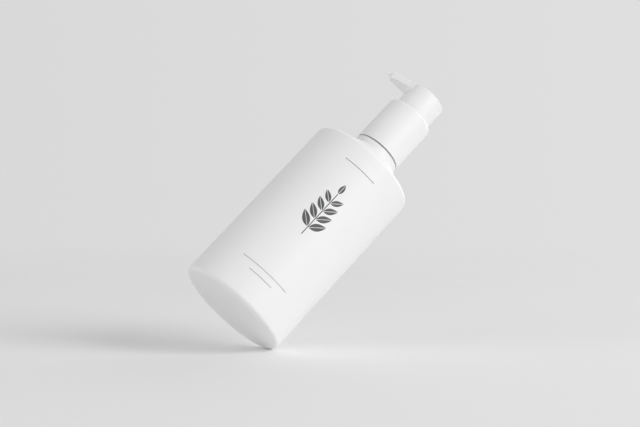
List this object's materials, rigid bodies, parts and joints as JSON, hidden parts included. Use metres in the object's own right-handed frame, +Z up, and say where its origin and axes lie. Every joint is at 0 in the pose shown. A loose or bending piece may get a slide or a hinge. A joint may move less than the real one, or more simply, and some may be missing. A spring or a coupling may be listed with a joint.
{
  "type": "lotion bottle",
  "caption": "Round white lotion bottle with a press-down pump: threaded neck, tall smooth collar, flat tapered nozzle, sprung piston, ball valve and dip tube.",
  "frame": {"origin": "centre of the base's standing ring, on the plane that the bottle stands on", "axes": "+Z up the bottle's axis, -X the way the nozzle points at rest"},
  "size_m": [0.064, 0.064, 0.1682],
  "materials": {
    "white_plastic": "satin",
    "natural_plastic": "smooth",
    "gasket": "satin",
    "steel": "polished"
  },
  "bodies": {
    "bottle": {"bottle": "white_plastic"},
    "pump": {"pump_housing": "natural_plastic", "stem_guide": "natural_plastic", "neck_gasket": "gasket", "ball_cage": "natural_plastic", "dip_tube": "natural_plastic"},
    "ball": {"inlet_ball": "steel"},
    "closure": {"closure": "natural_plastic", "collar_sleeve": "white_plastic"},
    "spring": {"return_spring": "steel"},
    "plunger": {"stem": "natural_plastic", "stem_plug": "natural_plastic", "actuator_head": "white_plastic", "nozzle_tube": "white_plastic"},
    "piston": {"piston": "white_plastic"}
  },
  "joints": [
    {"name": "pump_lift", "type": "slide", "parent": "bottle", "child": "pump", "axis": [0, 0, 1], "range_m": [0, 0.0048]},
    {"name": "closure_turn", "type": "hinge", "parent": "pump", "child": "closure", "pos_m": [0, 0, 0.1235], "axis": [0, 0, 1], "range_deg": [0, 540]},
    {"name": "head_press", "type": "slide", "parent": "pump", "child": "spring", "axis": [0, 0, 1], "range_m": [-0.009, 0], "stiffness_N_per_m": 900, "springref_m": 0.006, "deforming": ["return_spring"]},
    {"name": "head_swivel", "type": "hinge", "parent": "spring", "child": "plunger", "pos_m": [0, 0, 0.1525], "axis": [0, 0, 1], "continuous": true},
    {"name": "piston_slip", "type": "slide", "parent": "plunger", "child": "piston", "axis": [0, 0, 1], "range_m": [0, 0.0012]},
    {"name": "ball_lift", "type": "slide", "parent": "pump", "child": "ball", "axis": [0, 0, 1], "range_m": [0, 0.0015]}
  ],
  "couplings": [
    {"joint": "pump_lift", "follows": "closure_turn", "m_per_rad": 0.00050532}
  ]
}
